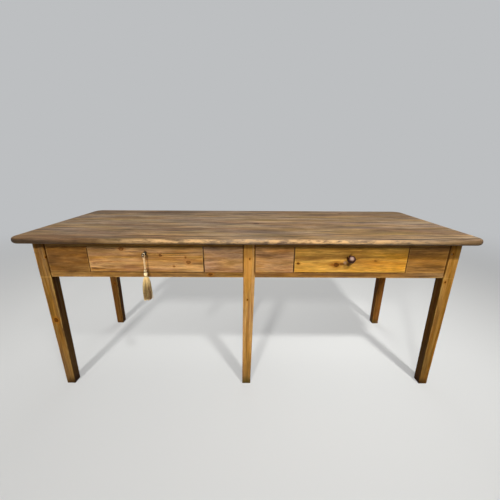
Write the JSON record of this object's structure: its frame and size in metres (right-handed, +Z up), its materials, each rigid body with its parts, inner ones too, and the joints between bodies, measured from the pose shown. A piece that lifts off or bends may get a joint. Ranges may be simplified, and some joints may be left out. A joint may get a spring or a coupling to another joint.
{
  "type": "refectory table",
  "caption": "Long boarded table on square tapered legs, with front drawers, a turned knob, a drawer lock, and a tassel on its key.",
  "frame": {"origin": "on the floor under the middle of the top", "axes": "+X along the table to the right, +Y to the back, +Z up"},
  "size_m": [1.93, 0.69, 0.77],
  "materials": {
    "scrubbed_pine": "scrubbed and waxed",
    "frame_pine": "waxed",
    "drawer_pine": "waxed",
    "inner_pine": "bare",
    "peg_wood": "waxed",
    "knob_wood": "polished",
    "steel_screws": "aged",
    "lock_steel": "aged",
    "key_steel": "worn",
    "aged_brass": "tarnished",
    "tassel_cord": "twisted",
    "tassel_thread": "silky"
  },
  "bodies": {
    "root": {"top_board_front": "scrubbed_pine", "top_board_second": "scrubbed_pine", "top_board_third": "scrubbed_pine", "top_board_rear": "scrubbed_pine", "leg_front_left": "frame_pine", "leg_front_centre": "frame_pine", "leg_front_right": "frame_pine", "leg_rear_left": "frame_pine", "leg_rear_centre": "frame_pine", "leg_rear_right": "frame_pine", "bottom_rail_left": "frame_pine", "bottom_rail_right": "frame_pine", "top_rail_left": "frame_pine", "top_rail_right": "frame_pine", "panel_left_outer": "frame_pine", "panel_left_inner": "frame_pine", "panel_right_inner": "frame_pine", "panel_right_outer": "frame_pine", "end_apron_left": "frame_pine", "end_apron_right": "frame_pine", "rear_apron_left": "frame_pine", "rear_apron_right": "frame_pine", "centre_cross_rail": "inner_pine", "runner_left_outer": "inner_pine", "runner_left_inner": "inner_pine", "runner_right_inner": "inner_pine", "runner_right_outer": "inner_pine", "kicker_left": "inner_pine", "kicker_right": "inner_pine", "drawer_stops": "inner_pine", "frame_pegs": "peg_wood", "top_buttons": "inner_pine", "button_screws": "steel_screws", "rail_screws": "steel_screws"},
    "left_drawer": {"left_drawer_front": "drawer_pine", "left_drawer_side_left": "inner_pine", "left_drawer_side_right": "inner_pine", "left_drawer_back": "inner_pine", "left_drawer_bottom": "inner_pine", "left_drawer_nails": "steel_screws", "lock_case": "lock_steel", "lock_plate": "lock_steel", "lock_spring": "lock_steel", "lock_screws": "steel_screws", "key_escutcheon": "aged_brass"},
    "right_drawer": {"right_drawer_front": "drawer_pine", "right_drawer_side_left": "inner_pine", "right_drawer_side_right": "inner_pine", "right_drawer_back": "inner_pine", "right_drawer_bottom": "inner_pine", "right_drawer_nails": "steel_screws", "drawer_knob": "knob_wood", "knob_screw": "steel_screws"},
    "key": {"drawer_key": "key_steel"},
    "bolt": {"lock_bolt": "aged_brass"},
    "tassel": {"tassel_cord": "tassel_cord", "tassel_head": "tassel_thread", "tassel_skirt": "tassel_thread"}
  },
  "joints": [
    {"name": "left_drawer_slide", "type": "slide", "parent": "root", "child": "left_drawer", "axis": [0, -1, 0], "range_m": [0, 0.36]},
    {"name": "right_drawer_slide", "type": "slide", "parent": "root", "child": "right_drawer", "axis": [0, -1, 0], "range_m": [0, 0.36]},
    {"name": "key_turn", "type": "hinge", "parent": "left_drawer", "child": "key", "pos_m": [-0.43825, -0.2845, 0.692], "axis": [0, 1, 0], "range_deg": [0, 180]},
    {"name": "bolt_lift", "type": "slide", "parent": "left_drawer", "child": "bolt", "axis": [0, 0, 1], "range_m": [0, 0.007]},
    {"name": "tassel_swing", "type": "hinge", "parent": "left_drawer", "child": "tassel", "pos_m": [-0.43825, -0.3045, 0.692], "axis": [0, 1, 0], "range_deg": [-60, 60]}
  ],
  "couplings": [
    {"joint": "bolt_lift", "follows": "key_turn", "m_per_rad": 0.002228}
  ]
}
